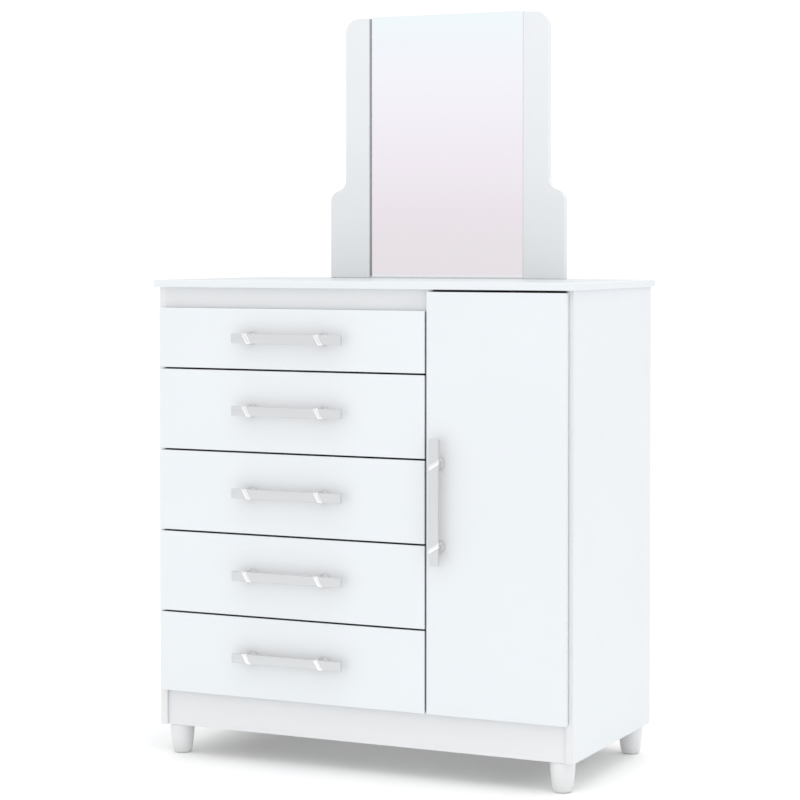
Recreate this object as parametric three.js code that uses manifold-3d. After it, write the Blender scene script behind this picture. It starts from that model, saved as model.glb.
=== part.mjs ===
// Dresser with mirror: a white board carcass on four turned feet, with five
// drawers on the left, a cupboard door on the right and an upright mirror
// panel standing on the top.
//
// Millimetres, +Z up. The front looks along -Y, the drawers are at -X and the
// door is at +X. The origin is on the floor, under the middle of the whole.
import * as THREE from 'three';
import { mergeVertices } from 'three/addons/utils/BufferGeometryUtils.js';
import Module from 'manifold-3d';

// ---------------------------------------------------------------- dimensions
// Depths are first given from the front edge of the carcass (0) to the back,
// then moved by Y_SHIFT so that the origin is in the middle of the whole.
const GAP = 0.3;               // gap left between two pieces that touch
const BOARD = 15;              // thickness of the carcass boards
const CARCASS_W = 900;         // over both side panels
const CARCASS_D = 434;         // side panels, front edge to rear edge
const FOOT_H = 60;
const CARCASS_TOP = 952;       // underside of the top slab
const SLAB_T = 15;
const SLAB_SIDE = 5;           // slab past each side panel
const SLAB_FRONT = 17;         // slab past the carcass front edge
const SLAB_REAR = 447;         // rear edge of the slab
const BACK_T = 3;              // hardboard back

const FRONT_T = 15;            // drawer fronts and door
const FRONT_AIR = 1;           // between carcass front edge and the fronts
const DRAWER_LEFT = -441.8;    // outer edges of the fronts, over part of the side panels
const DOOR_RIGHT = 440.2;
const DRAWER_RIGHT = 149.3;     // right edge of the drawer fronts
const DOOR_LEFT = 153.4;
const FRONT_BOTTOM = 133.6;
const LOW_FRONT_H = 160.2;     // lowest drawer front
const FRONT_H = 160.8;         // the three above it
const FRONT_SLIT = 3.6;        // slit between drawer fronts
const TOP_DRAWER_TOP = 910.7;
const DOOR_TOP = 947.6;

const DIVIDER_X = 145;         // left face of the upright between drawers and door
const FLOOR_BOARD_Z = 136;     // underside of the bottom board
const PLINTH_RECESS = 5;
const TOP_RAIL_H = 55;
const SHELF_Z = [410, 680];
const SHELF_FRONT = 22;
const SHELF_DEPTH = 408;

const FOOT_X = 417, FOOT_Y_FRONT = 31, FOOT_Y_REAR = 410;
const FOOT_TOP_R = 25, FOOT_LOW_R = 19;

const BOX_LEFT = -422.3, BOX_RIGHT = 132.3;   // drawer box, outside
const BOX_BACK = 398;
const BOX_T = 12;
const BOX_LIFT = 26;           // box bottom edge above the front's bottom edge
const BOX_H = 110, TOP_BOX_H = 74;
const BOTTOM_T = 3, GROOVE_IN = 6, GROOVE_UP = 9;

const RUNNER_L = 400, RUNNER_H = 26, RUNNER_W = 10, RUNNER_T = 1.4;

const BAR_L = 243, BAR_H = 19, BAR_T = 9, BAR_FACE = -42;
const FOOT_AT = [-87, 73];     // the two flared handle feet, from the middle of the bar
// (radius, depth) of a handle foot: narrow at the bar, flared on the front
const FLARE = [[0, -35], [6.4, -35], [6.4, -30.5], [6.9, -27], [8.2, -23.5], [10.2, -20.3],
  [12.2, -17.9], [12.5, -17.2], [12.5, -16.3], [0, -16.3]];
const BAR_X = -140.4;          // middle of the drawer handles
const BAR_UP = 1.4;            // and how far they sit above the middle of a front
const DOOR_BAR_X = 179.7, DOOR_BAR_Z = 545.7;

const HINGE_Z = [234, 848];
const CUP_X = 417.2, CUP_R = 17.5, CUP_DEPTH = 12;

const MIRROR_FRONT = 412;      // front face of the mirror's stiles
const MIRROR_REAR = 427;
const STILE_T = 10.3;
const GLASS_FACE = 418.4;
const GLASS_T = 4;
const MIRROR_BACK_T = 4.4;     // board behind the glass and the stiles
const GLASS_HALF = 177.4;      // half of the opening between the stiles
const STILE_TOP = 1520.6, GLASS_TOP = 1523;
const PANEL_LOW = 269.7, PANEL_HIGH = 233.8;  // half widths below and above the shoulder
const SHOULDER_Z = 1153;       // middle of the S-shaped shoulder
const CORNER_R = 30;
const BATTEN_X = 150, BATTEN_W = 60, BATTEN_TOP = 1367;

const Y_SHIFT = -(BAR_FACE + SLAB_REAR) / 2;

// ---------------------------------------------------------------- materials
const finish = (color, roughness, metalness = 0) => () =>
  new THREE.MeshStandardMaterial({ color, roughness, metalness });
const whiteLacquer = finish(0xf3f4f6, 0.35);
const whiteBoard = finish(0xeceded, 0.55);
const hardboard = finish(0xe6e4df, 0.75);
const plastic = finish(0xf0f0ef, 0.45);
const satinMetal = finish(0xc9ccce, 0.35, 0.6);
const steel = finish(0xb9bcc0, 0.3, 0.9);
const silvered = finish(0xe4e8ea, 0.03, 1.0);
const enamel = finish(0xe2e2de, 0.45, 0.2);

// ---------------------------------------------------------------- helpers
const wasm = await Module();
wasm.setup();

function toSolid(geometry) {
  let g = geometry.index ? geometry.toNonIndexed() : geometry.clone();
  g.deleteAttribute('normal');
  g.deleteAttribute('uv');
  g = mergeVertices(g, 1e-4);
  return new wasm.Manifold(new wasm.Mesh({
    numProp: 3,
    vertProperties: new Float32Array(g.attributes.position.array),
    triVerts: new Uint32Array(g.index.array),
  }));
}
function toGeometry(solid) {
  const m = solid.getMesh();
  const g = new THREE.BufferGeometry();
  const p = new Float32Array(m.numVert * 3);
  for (let i = 0; i < m.numVert; i++) {
    for (let k = 0; k < 3; k++) p[3 * i + k] = m.vertProperties[i * m.numProp + k];
  }
  g.setAttribute('position', new THREE.BufferAttribute(p, 3));
  g.setIndex(new THREE.BufferAttribute(new Uint32Array(m.triVerts), 1));
  g.computeVertexNormals();
  return g;
}
// a box between two corners
function box(x0, x1, y0, y1, z0, z1) {
  const g = new THREE.BoxGeometry(x1 - x0, y1 - y0, z1 - z0);
  g.translate((x0 + x1) / 2, (y0 + y1) / 2, (z0 + z1) / 2);
  return g;
}
// an outline in (x, z) pushed back along +Y from y0 to y1
function slabXZ(points, y0, y1) {
  const shape = new THREE.Shape(points.map(([x, z]) => new THREE.Vector2(x, z)));
  const g = new THREE.ExtrudeGeometry(shape, { depth: y1 - y0, bevelEnabled: false });
  g.rotateX(Math.PI / 2);      // (x, z, d) -> (x, -d, z)
  g.translate(0, y1, 0);
  return g;
}
// an outline in (x, y) raised along +Z from z0 to z1
function slabXY(points, z0, z1) {
  const shape = new THREE.Shape(points.map(([x, y]) => new THREE.Vector2(x, y)));
  const g = new THREE.ExtrudeGeometry(shape, { depth: z1 - z0, bevelEnabled: false });
  g.translate(0, 0, z0);
  return g;
}
// a round pin along Y
function pinY(x, z, r, y0, y1, sides = 24) {
  const g = new THREE.CylinderGeometry(r, r, y1 - y0, sides);
  g.translate(x, (y0 + y1) / 2, z);
  return g;
}
// a turned shape about Y from its (radius, y) profile
function turnY(x, z, profile, sides = 28) {
  const g = new THREE.LatheGeometry(profile.map(([r, y]) => new THREE.Vector2(r, y)), sides);
  g.translate(x, 0, z);
  return g;
}
function union(...gs) {
  return toGeometry(gs.map(toSolid).reduce((a, b) => a.add(b)));
}
function cut(base, ...tools) {
  return toGeometry(tools.map(toSolid).reduce((a, b) => a.subtract(b), toSolid(base)));
}

const dresser = new THREE.Group();
dresser.name = 'dresser_with_mirror';
dresser.position.y = Y_SHIFT;
function add(name, geometry, material) {
  const mesh = new THREE.Mesh(geometry, material());
  mesh.name = name;
  dresser.add(mesh);
  return mesh;
}

// ---------------------------------------------------------------- carcass
const HALF = CARCASS_W / 2;
const INNER = HALF - BOARD;                    // inner face of the side panels
const BAY_RIGHT = DIVIDER_X;                   // drawer bay, right wall
const CUPBOARD_LEFT = DIVIDER_X + BOARD;
const FLOOR_TOP = FLOOR_BOARD_Z + BOARD;

add('top_slab', box(-HALF - SLAB_SIDE, HALF + SLAB_SIDE, -SLAB_FRONT, SLAB_REAR,
  CARCASS_TOP, CARCASS_TOP + SLAB_T - GAP), whiteLacquer);
add('side_panel_left', box(-HALF, -INNER, 0, CARCASS_D, FOOT_H, CARCASS_TOP - GAP), whiteLacquer);
add('side_panel_right', box(INNER, HALF, 0, CARCASS_D, FOOT_H, CARCASS_TOP - GAP), whiteLacquer);
add('bottom_panel', box(-INNER + GAP, INNER - GAP, 0, CARCASS_D,
  FLOOR_BOARD_Z, FLOOR_TOP), whiteBoard);
add('centre_divider', box(DIVIDER_X, CUPBOARD_LEFT, 0, CARCASS_D,
  FLOOR_TOP + GAP, CARCASS_TOP - GAP), whiteBoard);
add('top_front_rail', box(-INNER + GAP, BAY_RIGHT - GAP, 0, BOARD,
  CARCASS_TOP - TOP_RAIL_H, CARCASS_TOP - GAP), whiteLacquer);
add('top_rear_rail', box(-INNER + GAP, BAY_RIGHT - GAP, CARCASS_D - BOARD, CARCASS_D,
  CARCASS_TOP - TOP_RAIL_H, CARCASS_TOP - GAP), whiteBoard);
add('plinth_rail', box(-INNER + GAP, INNER - GAP, PLINTH_RECESS, PLINTH_RECESS + BOARD,
  FOOT_H, FLOOR_BOARD_Z - GAP), whiteLacquer);
add('back_panel', box(-HALF + 3, HALF - 3, CARCASS_D + GAP, CARCASS_D + GAP + BACK_T,
  FOOT_H + 2, CARCASS_TOP - 2), hardboard);

for (const [i, z] of SHELF_Z.entries()) {
  add(`shelf_${i === 0 ? 'lower' : 'upper'}`, box(CUPBOARD_LEFT + GAP, INNER - GAP,
    SHELF_FRONT, SHELF_FRONT + SHELF_DEPTH, z, z + BOARD), whiteBoard);
}

// cross rails that carry the feet, low inside the plinth
const FOOT_RAIL_Y0 = PLINTH_RECESS + BOARD + GAP;
for (const [side, s] of [['left', -1], ['right', 1]]) {
  const a = s * (INNER - GAP), b = s * (INNER - 70);
  add(`foot_rail_${side}`, box(Math.min(a, b), Math.max(a, b), FOOT_RAIL_Y0, CARCASS_D,
    FOOT_H + GAP, FOOT_H + GAP + 18), whiteBoard);
}

// turned, tapering feet with a rounded lower rim
function footGeometry() {
  const rim = 3.8;
  const p = [[0, 0], [FOOT_LOW_R - rim, 0]];
  for (let i = 1; i <= 5; i++) {
    const a = (i / 5) * (Math.PI / 2) * 0.93;
    p.push([FOOT_LOW_R - rim + rim * Math.sin(a), rim - rim * Math.cos(a)]);
  }
  p.push([FOOT_LOW_R + 1.9, 14], [FOOT_LOW_R + 3.1, 24], [FOOT_LOW_R + 5.0, 44]);
  p.push([FOOT_TOP_R, FOOT_H - GAP - 1.0], [FOOT_TOP_R - 0.8, FOOT_H - GAP], [0, FOOT_H - GAP]);
  const g = new THREE.LatheGeometry(p.map(([r, h]) => new THREE.Vector2(r, h)), 32);
  g.rotateX(Math.PI / 2);
  return g;
}
for (const [name, x, y] of [['foot_front_left', -FOOT_X, FOOT_Y_FRONT],
  ['foot_front_right', FOOT_X, FOOT_Y_FRONT], ['foot_rear_left', -FOOT_X, FOOT_Y_REAR],
  ['foot_rear_right', FOOT_X, FOOT_Y_REAR]]) {
  const foot = add(name, toGeometry(toSolid(footGeometry())), plastic);
  foot.position.set(x, y, 0);
}

// ---------------------------------------------------------------- drawers
// number 1 is the shallow one at the top
const drawers = [];
let nextLow = FRONT_BOTTOM;
for (let n = 5; n >= 1; n--) {
  const low = nextLow;
  const high = n === 1 ? TOP_DRAWER_TOP : low + (n === 5 ? LOW_FRONT_H : FRONT_H);
  drawers.push({ n, low, high, boxH: n === 1 ? TOP_BOX_H : BOX_H });
  nextLow = high + FRONT_SLIT;
}
const FRONT_BACK = -FRONT_AIR;                 // rear face of the fronts
const FRONT_FACE = -FRONT_AIR - FRONT_T;       // visible face of the fronts

// a flat bar on two flared feet, lying along X, its feet ending on the face;
// the feet stand in the middle of the drawer front, the bar a little to their right
function handleGeometry() {
  const half = BAR_L / 2, h = BAR_H / 2;
  const c = 1.2;                               // small chamfer round the face
  const outline = [[-half + c, BAR_FACE], [half - c, BAR_FACE], [half, BAR_FACE + c],
    [half, BAR_FACE + BAR_T], [-half, BAR_FACE + BAR_T], [-half, BAR_FACE + c]];
  const bar = slabXY(outline, -h, h);
  return union(bar, ...FOOT_AT.map((x) => turnY(x, 0, FLARE)));
}

for (const d of drawers) {
  const z0 = d.low + BOX_LIFT, z1 = z0 + d.boxH;
  const gz0 = z0 + GROOVE_UP - GAP, gz1 = z0 + GROOVE_UP + BOTTOM_T + GAP;
  // the face board, grooved behind for the bottom
  add(`drawer_${d.n}_front`, cut(
    box(DRAWER_LEFT, DRAWER_RIGHT, FRONT_FACE, FRONT_BACK, d.low, d.high),
    box(BOX_LEFT + 4, BOX_RIGHT - 4, FRONT_BACK - GROOVE_IN, FRONT_BACK + 1, gz0, gz1)),
  whiteLacquer);
  // sides and back are one board, folded at its two rear corners and grooved inside
  const u = slabXY([[BOX_LEFT, FRONT_BACK + GAP], [BOX_LEFT + BOX_T, FRONT_BACK + GAP],
    [BOX_LEFT + BOX_T, BOX_BACK - BOX_T], [BOX_RIGHT - BOX_T, BOX_BACK - BOX_T],
    [BOX_RIGHT - BOX_T, FRONT_BACK + GAP], [BOX_RIGHT, FRONT_BACK + GAP],
    [BOX_RIGHT, BOX_BACK], [BOX_LEFT, BOX_BACK]], z0, z1);
  add(`drawer_${d.n}_box`, cut(u, box(BOX_LEFT + BOX_T - GROOVE_IN, BOX_RIGHT - BOX_T + GROOVE_IN,
    -FRONT_AIR - 5, BOX_BACK - BOX_T + GROOVE_IN, gz0, gz1)), whiteBoard);
  add(`drawer_${d.n}_bottom`, box(BOX_LEFT + BOX_T - GROOVE_IN + GAP, BOX_RIGHT - BOX_T + GROOVE_IN - GAP,
    FRONT_BACK - GROOVE_IN + GAP, BOX_BACK - BOX_T + GROOVE_IN - GAP,
    z0 + GROOVE_UP, z0 + GROOVE_UP + BOTTOM_T), hardboard);
  const handle = add(`drawer_${d.n}_handle`, handleGeometry(), satinMetal);
  handle.position.set(BAR_X, 0, (d.low + d.high) / 2 + BAR_UP);

  // the fixed halves of the runners: folded steel, open towards the drawer
  for (const [side, s] of [['left', 1], ['right', -1]]) {
    const wall = side === 'left' ? -INNER + GAP : BAY_RIGHT - GAP;
    const rz = z0 - 6;
    const P = (dx, dz) => [wall + s * dx, rz + dz];
    const profile = [P(0, 0), P(RUNNER_W, 0), P(RUNNER_W, 4), P(RUNNER_W - RUNNER_T, 4),
      P(RUNNER_W - RUNNER_T, RUNNER_T), P(RUNNER_T, RUNNER_T), P(RUNNER_T, RUNNER_H - RUNNER_T),
      P(RUNNER_W - 2, RUNNER_H - RUNNER_T), P(RUNNER_W - 2, RUNNER_H), P(0, RUNNER_H)];
    if (s < 0) profile.reverse();
    add(`runner_${d.n}_${side}`, slabXZ(profile, 3, 3 + RUNNER_L), enamel);
  }
}

// ---------------------------------------------------------------- door
const door = box(DOOR_LEFT, DOOR_RIGHT, FRONT_FACE, FRONT_BACK, FRONT_BOTTOM, DOOR_TOP);
add('door_panel', cut(door, ...HINGE_Z.map((z) =>
  pinY(CUP_X, z, CUP_R, FRONT_BACK - CUP_DEPTH, FRONT_BACK + 1, 32))), whiteLacquer);
const doorHandle = add('door_handle', handleGeometry(), satinMetal);
doorHandle.rotation.y = -Math.PI / 2;          // upright, its long end at the top
doorHandle.position.set(DOOR_BAR_X, 0, DOOR_BAR_Z);

for (const [i, z] of HINGE_Z.entries()) {
  const level = i === 0 ? 'lower' : 'upper';
  // cup with its screw wings, let into the back of the door
  const lid = FRONT_BACK + GAP, proud = 1.2;
  const cup = union(
    pinY(CUP_X, z, CUP_R - GAP, FRONT_BACK - CUP_DEPTH + GAP, lid + proud, 32),
    box(CUP_X - 8, CUP_X + 8, lid, lid + proud, z - 26, z + 26));
  add(`hinge_cup_${level}`, cut(cup,
    box(CUP_X - 11, CUP_X + 11, FRONT_BACK - CUP_DEPTH + 2, lid + proud + 1, z - 8.5, z + 8.5)), steel);
  // arm and mounting plate on the inner face of the side panel
  const wall = INNER - GAP;
  const arm = slabXY([[wall, 68], [wall - 15, 68], [wall - 17, 22], [wall - 22.5, 10],
    [wall - 22.5, 1.2], [wall - 8, 1.2], [wall - 6, 18], [wall, 27]].reverse(), z - 6.5, z + 6.5);
  add(`hinge_arm_${level}`, union(arm, box(wall - 2.4, wall, 30, 45, z - 26, z + 26)), steel);
}

// ---------------------------------------------------------------- mirror
const SLAB_TOP = CARCASS_TOP + SLAB_T;
const STEP = PANEL_LOW - PANEL_HIGH;
// half outline of the panel from its foot up, out from x = 0, for the side s
function shoulderPoints() {
  // two equal arcs turning through the same angle join the two widths
  const turn = 76 * Math.PI / 180;
  const r = STEP / (2 * (1 - Math.cos(turn)));
  const half = r * Math.sin(turn);
  const pts = [];
  for (let i = 0; i <= 8; i++) {               // lower, bulging arc
    const a = (i / 8) * turn;
    pts.push([PANEL_LOW - r + r * Math.cos(a), SHOULDER_Z - half + r * Math.sin(a)]);
  }
  for (let i = 7; i >= 0; i--) {               // upper, hollow arc
    const a = (i / 8) * turn;
    pts.push([PANEL_HIGH + r - r * Math.cos(a), SHOULDER_Z + half - r * Math.sin(a)]);
  }
  return pts;
}
function cornerPoints() {
  const pts = [];
  for (let i = 0; i <= 8; i++) {
    const a = (i / 8) * Math.PI / 2;
    pts.push([PANEL_HIGH - CORNER_R + CORNER_R * Math.cos(a), STILE_TOP - CORNER_R + CORNER_R * Math.sin(a)]);
  }
  return pts;
}
const outer = [[PANEL_LOW, SLAB_TOP], ...shoulderPoints(), ...cornerPoints()];
const stileRight = [[GLASS_HALF, SLAB_TOP], ...outer, [GLASS_HALF, STILE_TOP]];
const mirrorX = (pts) => pts.map(([x, z]) => [-x, z]).reverse();
add('mirror_stile_right', slabXZ(stileRight, MIRROR_FRONT, MIRROR_FRONT + STILE_T), whiteLacquer);
add('mirror_stile_left', slabXZ(mirrorX(stileRight), MIRROR_FRONT, MIRROR_FRONT + STILE_T), whiteLacquer);
const boardOutline = [...outer, [GLASS_HALF, STILE_TOP], [GLASS_HALF, GLASS_TOP],
  [-GLASS_HALF, GLASS_TOP], [-GLASS_HALF, STILE_TOP], ...mirrorX(outer)];
add('mirror_back_board', slabXZ(boardOutline, MIRROR_REAR - MIRROR_BACK_T, MIRROR_REAR), whiteBoard);
add('mirror_glass', box(-GLASS_HALF + GAP, GLASS_HALF - GAP, GLASS_FACE, GLASS_FACE + GLASS_T,
  SLAB_TOP, GLASS_TOP), silvered);
for (const [side, s] of [['left', -1], ['right', 1]]) {
  add(`mirror_batten_${side}`, box(s * BATTEN_X - BATTEN_W / 2, s * BATTEN_X + BATTEN_W / 2,
    MIRROR_REAR + GAP, SLAB_REAR - 2, SLAB_TOP, BATTEN_TOP), whiteBoard);
}

export default dresser;
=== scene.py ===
import math

import bmesh
import bpy
from mathutils import Matrix, Vector


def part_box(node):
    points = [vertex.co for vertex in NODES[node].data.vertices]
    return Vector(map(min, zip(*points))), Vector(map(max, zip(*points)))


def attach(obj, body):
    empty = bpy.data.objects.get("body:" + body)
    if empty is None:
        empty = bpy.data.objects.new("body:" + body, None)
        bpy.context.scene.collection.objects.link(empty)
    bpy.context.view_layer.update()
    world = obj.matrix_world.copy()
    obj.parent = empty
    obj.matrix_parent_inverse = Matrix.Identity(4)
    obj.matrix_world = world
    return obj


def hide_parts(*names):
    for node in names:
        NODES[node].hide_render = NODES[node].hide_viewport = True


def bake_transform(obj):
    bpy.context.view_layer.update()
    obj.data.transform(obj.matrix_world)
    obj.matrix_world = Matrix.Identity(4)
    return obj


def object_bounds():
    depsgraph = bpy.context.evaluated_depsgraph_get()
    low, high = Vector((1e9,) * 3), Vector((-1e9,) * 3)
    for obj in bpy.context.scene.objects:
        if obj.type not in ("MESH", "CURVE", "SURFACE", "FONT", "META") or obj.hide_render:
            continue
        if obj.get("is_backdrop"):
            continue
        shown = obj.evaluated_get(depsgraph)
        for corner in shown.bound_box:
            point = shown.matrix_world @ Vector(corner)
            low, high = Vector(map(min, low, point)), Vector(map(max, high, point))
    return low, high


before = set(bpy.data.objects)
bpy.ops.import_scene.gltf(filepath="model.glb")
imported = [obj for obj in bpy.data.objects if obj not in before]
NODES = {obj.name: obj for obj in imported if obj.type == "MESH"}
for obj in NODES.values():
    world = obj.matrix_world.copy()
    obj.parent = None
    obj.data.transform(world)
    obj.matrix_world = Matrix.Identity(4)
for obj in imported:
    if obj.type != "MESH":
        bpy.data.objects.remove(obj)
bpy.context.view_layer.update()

# Millimetre positions in this file are given as (x, d, z): d is the depth from
# the carcass front edge to the back, as the construction counts it.
FRONT_EDGE = -0.2025


def P(x, d, z):
    return Vector((x / 1000, d / 1000 + FRONT_EDGE, z / 1000))


# ------------------------------------------------------------------ camera
scene = bpy.context.scene
cam_data = bpy.data.cameras.new("camera")
cam_data.sensor_width = 36
cam_data.lens = 106.39
cam_data.shift_x = 0.0
cam_data.shift_y = -0.1208
cam_data.clip_start, cam_data.clip_end = 0.05, 200
camera = bpy.data.objects.new("camera", cam_data)
camera.location = (2.04666, -4.33869, 1.04222)
camera.rotation_euler = (math.radians(90 - 1.474), 0, math.radians(25.318))
scene.collection.objects.link(camera)
scene.camera = camera
scene.view_settings.view_transform = "Standard"
scene.view_settings.look = "None"
scene.view_settings.exposure = 0.0
scene.view_settings.gamma = 1.0


# ------------------------------------------------------------------ materials
class Graph:
    """A small helper round one material's node tree."""

    def __init__(self, name):
        self.mat = bpy.data.materials.new(name)
        self.mat.use_nodes = True
        self.tree = self.mat.node_tree
        self.tree.nodes.clear()
        self.out = self.tree.nodes.new("ShaderNodeOutputMaterial")
        self.shader = self.tree.nodes.new("ShaderNodeBsdfPrincipled")
        self.link(self.shader.outputs["BSDF"], self.out.inputs["Surface"])

    def link(self, a, b):
        self.tree.links.new(a, b)

    def node(self, kind, **values):
        n = self.tree.nodes.new(kind)
        for k, v in values.items():
            if hasattr(n, k) and k not in n.inputs:
                setattr(n, k, v)
            else:
                n.inputs[k].default_value = v
        return n

    def coords(self, scale=(1, 1, 1)):
        tc = self.node("ShaderNodeTexCoord")
        mp = self.node("ShaderNodeMapping")
        mp.inputs["Scale"].default_value = scale
        self.link(tc.outputs["Object"], mp.inputs["Vector"])
        return mp.outputs["Vector"]

    def noise(self, scale, detail=2.0, rough=0.5, stretch=(1, 1, 1), distortion=0.0):
        n = self.node("ShaderNodeTexNoise")
        n.inputs["Scale"].default_value = scale
        n.inputs["Detail"].default_value = detail
        n.inputs["Roughness"].default_value = rough
        n.inputs["Distortion"].default_value = distortion
        self.link(self.coords(stretch), n.inputs["Vector"])
        return n.outputs["Fac"]

    def ramp(self, value, lo, hi, out_lo, out_hi, smooth=False):
        m = self.node("ShaderNodeMapRange")
        m.interpolation_type = "SMOOTHSTEP" if smooth else "LINEAR"
        m.clamp = True
        m.inputs["From Min"].default_value = lo
        m.inputs["From Max"].default_value = hi
        m.inputs["To Min"].default_value = out_lo
        m.inputs["To Max"].default_value = out_hi
        self.link(value, m.inputs["Value"])
        return m.outputs["Result"]

    def mul(self, a, b):
        m = self.node("ShaderNodeMath")
        m.operation = "MULTIPLY"
        self.link(a, m.inputs[0])
        if isinstance(b, (int, float)):
            m.inputs[1].default_value = b
        else:
            self.link(b, m.inputs[1])
        return m.outputs[0]

    def mix(self, fac, a, b):
        m = self.node("ShaderNodeMix")
        m.data_type = "RGBA"
        if isinstance(fac, (int, float)):
            m.inputs[0].default_value = fac
        else:
            self.link(fac, m.inputs[0])
        for value, socket in ((a, m.inputs[6]), (b, m.inputs[7])):
            if isinstance(value, tuple):
                socket.default_value = (*value, 1)
            else:
                self.link(value, socket)
        return m.outputs[2]

    def occlusion(self, distance, samples=8):
        a = self.node("ShaderNodeAmbientOcclusion")
        a.samples = samples
        a.inputs["Distance"].default_value = distance
        return a.outputs["AO"]

    def bump(self, height, strength, distance, below=None):
        b = self.node("ShaderNodeBump")
        b.inputs["Strength"].default_value = strength
        b.inputs["Distance"].default_value = distance
        self.link(height, b.inputs["Height"])
        if below is not None:
            self.link(below, b.inputs["Normal"])
        return b.outputs["Normal"]


def tint(c, k):
    return tuple(min(1.0, x * k) for x in c)


def white_surface(name, color, rough=(0.30, 0.38), peel=(190.0, 0.06, 0.0001),
                  crevice_shade=(0.10, 0.42), broad_shade=0.90, shade_reach=0.16, coat=0.0, mottle=0.985, grain=None,
                  shade_tint=(1.0, 1.0, 1.0)):
    """Painted or foil-faced board: faint mottling, a fine surface texture, and
    painted shade: the colour is darkened down joints and gaps and towards large
    neighbours, where it also turns by the given tint factors."""
    g = Graph(name)
    shade = g.ramp(g.noise(2.6, 3.0, 0.55), 0.35, 0.65, mottle, 1.0)
    # painted shade: darker where surfaces within 10 mm close round the point, down gaps and joints
    if crevice_shade:
        crevice_darkening = g.ramp(g.occlusion(0.010), *crevice_shade, 0.015, 1.0, smooth=True)
        shade = g.mul(shade, crevice_darkening)
    full = color
    # painted shade: darker, and turned in colour, towards big neighbours further off
    if broad_shade < 1.0:
        shaded_color = tuple(c * broad_shade * d for c, d in zip(color, shade_tint))
        full = g.mix(g.ramp(g.occlusion(shade_reach), 0.35, 1.0, 0.0, 1.0), shaded_color, color)
    g.link(g.mix(shade, (0.0, 0.0, 0.0), full), g.shader.inputs["Base Color"])
    g.link(g.ramp(g.noise(34.0, 3.0, 0.6), 0.3, 0.7, *rough), g.shader.inputs["Roughness"])
    normal = g.bump(g.noise(peel[0], 2.0, 0.5), peel[1], peel[2])
    if grain:
        normal = g.bump(g.noise(grain[0], 3.0, 0.6, stretch=grain[3]), grain[1], grain[2], below=normal)
    g.link(normal, g.shader.inputs["Normal"])
    g.shader.inputs["Specular IOR Level"].default_value = 0.4
    g.shader.inputs["Coat Weight"].default_value = coat
    g.shader.inputs["Coat Roughness"].default_value = 0.12
    return g.mat


WHITE = (0.785, 0.822, 0.846)
# how the painted shade on the fronts turns in colour where it is darkest: redder, less blue
FRONT_SHADE_TINT = (1.045, 0.985, 0.955)
M_LACQUER = white_surface("white_lacquer_fronts", WHITE, coat=0.12, broad_shade=0.925, shade_tint=FRONT_SHADE_TINT)
# painted light: the drawer fronts are the door's lacquer made a little lighter; both carry painted shade
M_DRAWER = white_surface("white_lacquer_drawers", tint(WHITE, 1.014), coat=0.12, broad_shade=0.935, shade_tint=FRONT_SHADE_TINT)
# painted shade down the gaps between fronts; the upright edges get a lighter copy of it
M_EDGE = white_surface("white_edge_band", WHITE, rough=(0.34, 0.46), crevice_shade=(0.13, 0.46), broad_shade=1.0)
M_SIDE_EDGE = white_surface("white_edge_band_upright", WHITE, rough=(0.34, 0.46), crevice_shade=(0.06, 0.36), broad_shade=1.0)
# painted shade: the side panels and the top's ends are a darker copy of the white, darkened near joints too
M_CARCASS = white_surface("white_lacquer_carcass", tint(WHITE, 0.95), rough=(0.30, 0.42),
                          peel=(230.0, 0.06, 0.0001), crevice_shade=(0.0, 0.14), broad_shade=0.97, shade_reach=0.05)
# painted shade: the side panels' front edges are one finish in two tones, the right one darker, the left one darkened
# in its gaps
M_PANEL_EDGE = {
    side: white_surface(f"white_panel_edge_{side}", color, rough=(0.30, 0.42), peel=(230.0, 0.06, 0.0001),
                        crevice_shade=crevice_shade, broad_shade=1.0)
    for side, color, crevice_shade in (("left", (0.808, 0.819, 0.817), (0.0, 0.14)), ("right", (0.775, 0.790, 0.800), None))}
# painted shade: the recessed rails are a greyer copy of the white, darker again near joints
M_RAIL = white_surface("white_lacquer_rails", (0.794, 0.806, 0.816), rough=(0.30, 0.42),
                       peel=(230.0, 0.06, 0.0001), crevice_shade=(0.0, 0.14), broad_shade=0.95, shade_reach=0.05)
# painted shade: the top is one board in three tones, its upward face much darker to offset the overhead light, and
# darker still near the mirror
M_SLAB = white_surface("white_lacquer_top_edges", tint(WHITE, 0.995), rough=(0.30, 0.38), crevice_shade=(0.0, 0.14),
                       broad_shade=1.0)
M_SLAB_FACE = white_surface("white_lacquer_top_face_shaded", tint(WHITE, 0.79), rough=(0.30, 0.38), crevice_shade=(0.0, 0.16),
                            broad_shade=0.80, shade_reach=0.16)
# painted shade: the mirror panel is a darker copy of the white, growing darker down towards the top it stands on
M_STILE = white_surface("white_lacquer_mirror_panel", (0.772, 0.790, 0.803), broad_shade=0.982, shade_reach=0.30)
# painted shade: the inside boards and the divider darken in joints and near neighbours too
M_INNER = white_surface("white_foil_inside", (0.84, 0.845, 0.845), rough=(0.42, 0.58),
                        peel=(260.0, 0.10, 0.0001))
M_UPRIGHT = white_surface("white_foil_upright", (0.84, 0.845, 0.845), rough=(0.42, 0.58),
                          peel=(260.0, 0.10, 0.0001), crevice_shade=(0.0, 0.12), broad_shade=1.0)


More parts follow.
